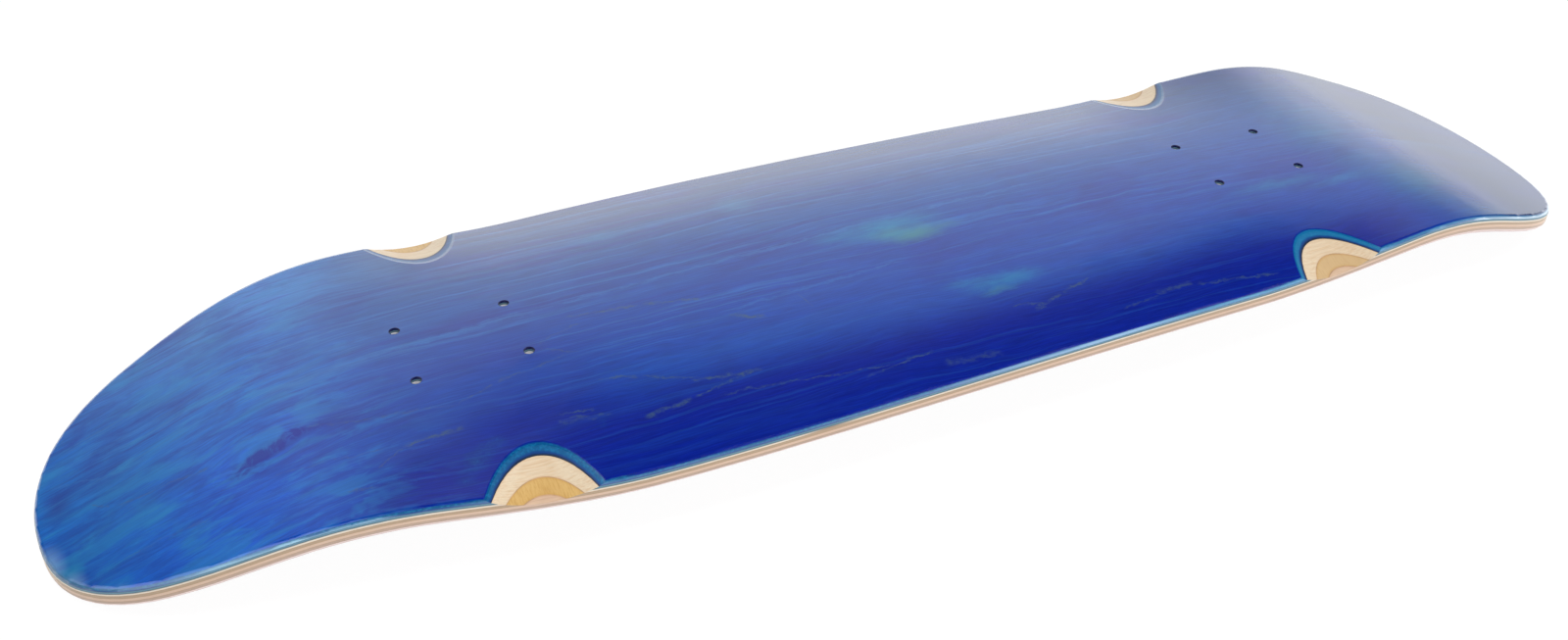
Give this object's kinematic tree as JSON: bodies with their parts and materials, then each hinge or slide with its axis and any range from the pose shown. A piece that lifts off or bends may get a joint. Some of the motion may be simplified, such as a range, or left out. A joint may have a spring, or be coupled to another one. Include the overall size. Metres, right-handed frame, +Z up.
{
  "type": "skateboard deck",
  "caption": "Laminated wooden skateboard deck with kicked nose and tail, a shallow concave, truck bolt holes and sanded wheel wells in its blue-stained bottom face.",
  "frame": {"origin": "under the middle of the board, on the surface that the tips of the nose and tail rest on when the board lies with its bottom face up", "axes": "+X along the board to the nose, +Y across it to one rail, +Z up, out of the bottom face where the trucks are bolted"},
  "size_m": [0.8548, 0.223, 0.0608],
  "materials": {
    "stained_maple": "satin, blue stain under a thin clear coat",
    "long_grain_maple": "sanded, clear coat",
    "crossband_maple": "sanded, clear coat",
    "core_maple": "sanded, clear coat",
    "top_crossband_maple": "sanded, clear coat",
    "top_long_grain_maple": "sanded, clear coat",
    "top_face_maple": "sanded, clear coat",
    "wood_glue": "thin dark glue line"
  },
  "bodies": {
    "root": {"bottom_face_veneer": "stained_maple", "glue_film_1": "wood_glue", "bottom_long_grain_veneer": "long_grain_maple", "glue_film_2": "wood_glue", "bottom_crossband_veneer": "crossband_maple", "glue_film_3": "wood_glue", "core_veneer": "core_maple", "glue_film_4": "wood_glue", "top_crossband_veneer": "top_crossband_maple", "glue_film_5": "wood_glue", "top_long_grain_veneer": "top_long_grain_maple", "glue_film_6": "wood_glue", "top_face_veneer": "top_face_maple"}
  },
  "joints": []
}
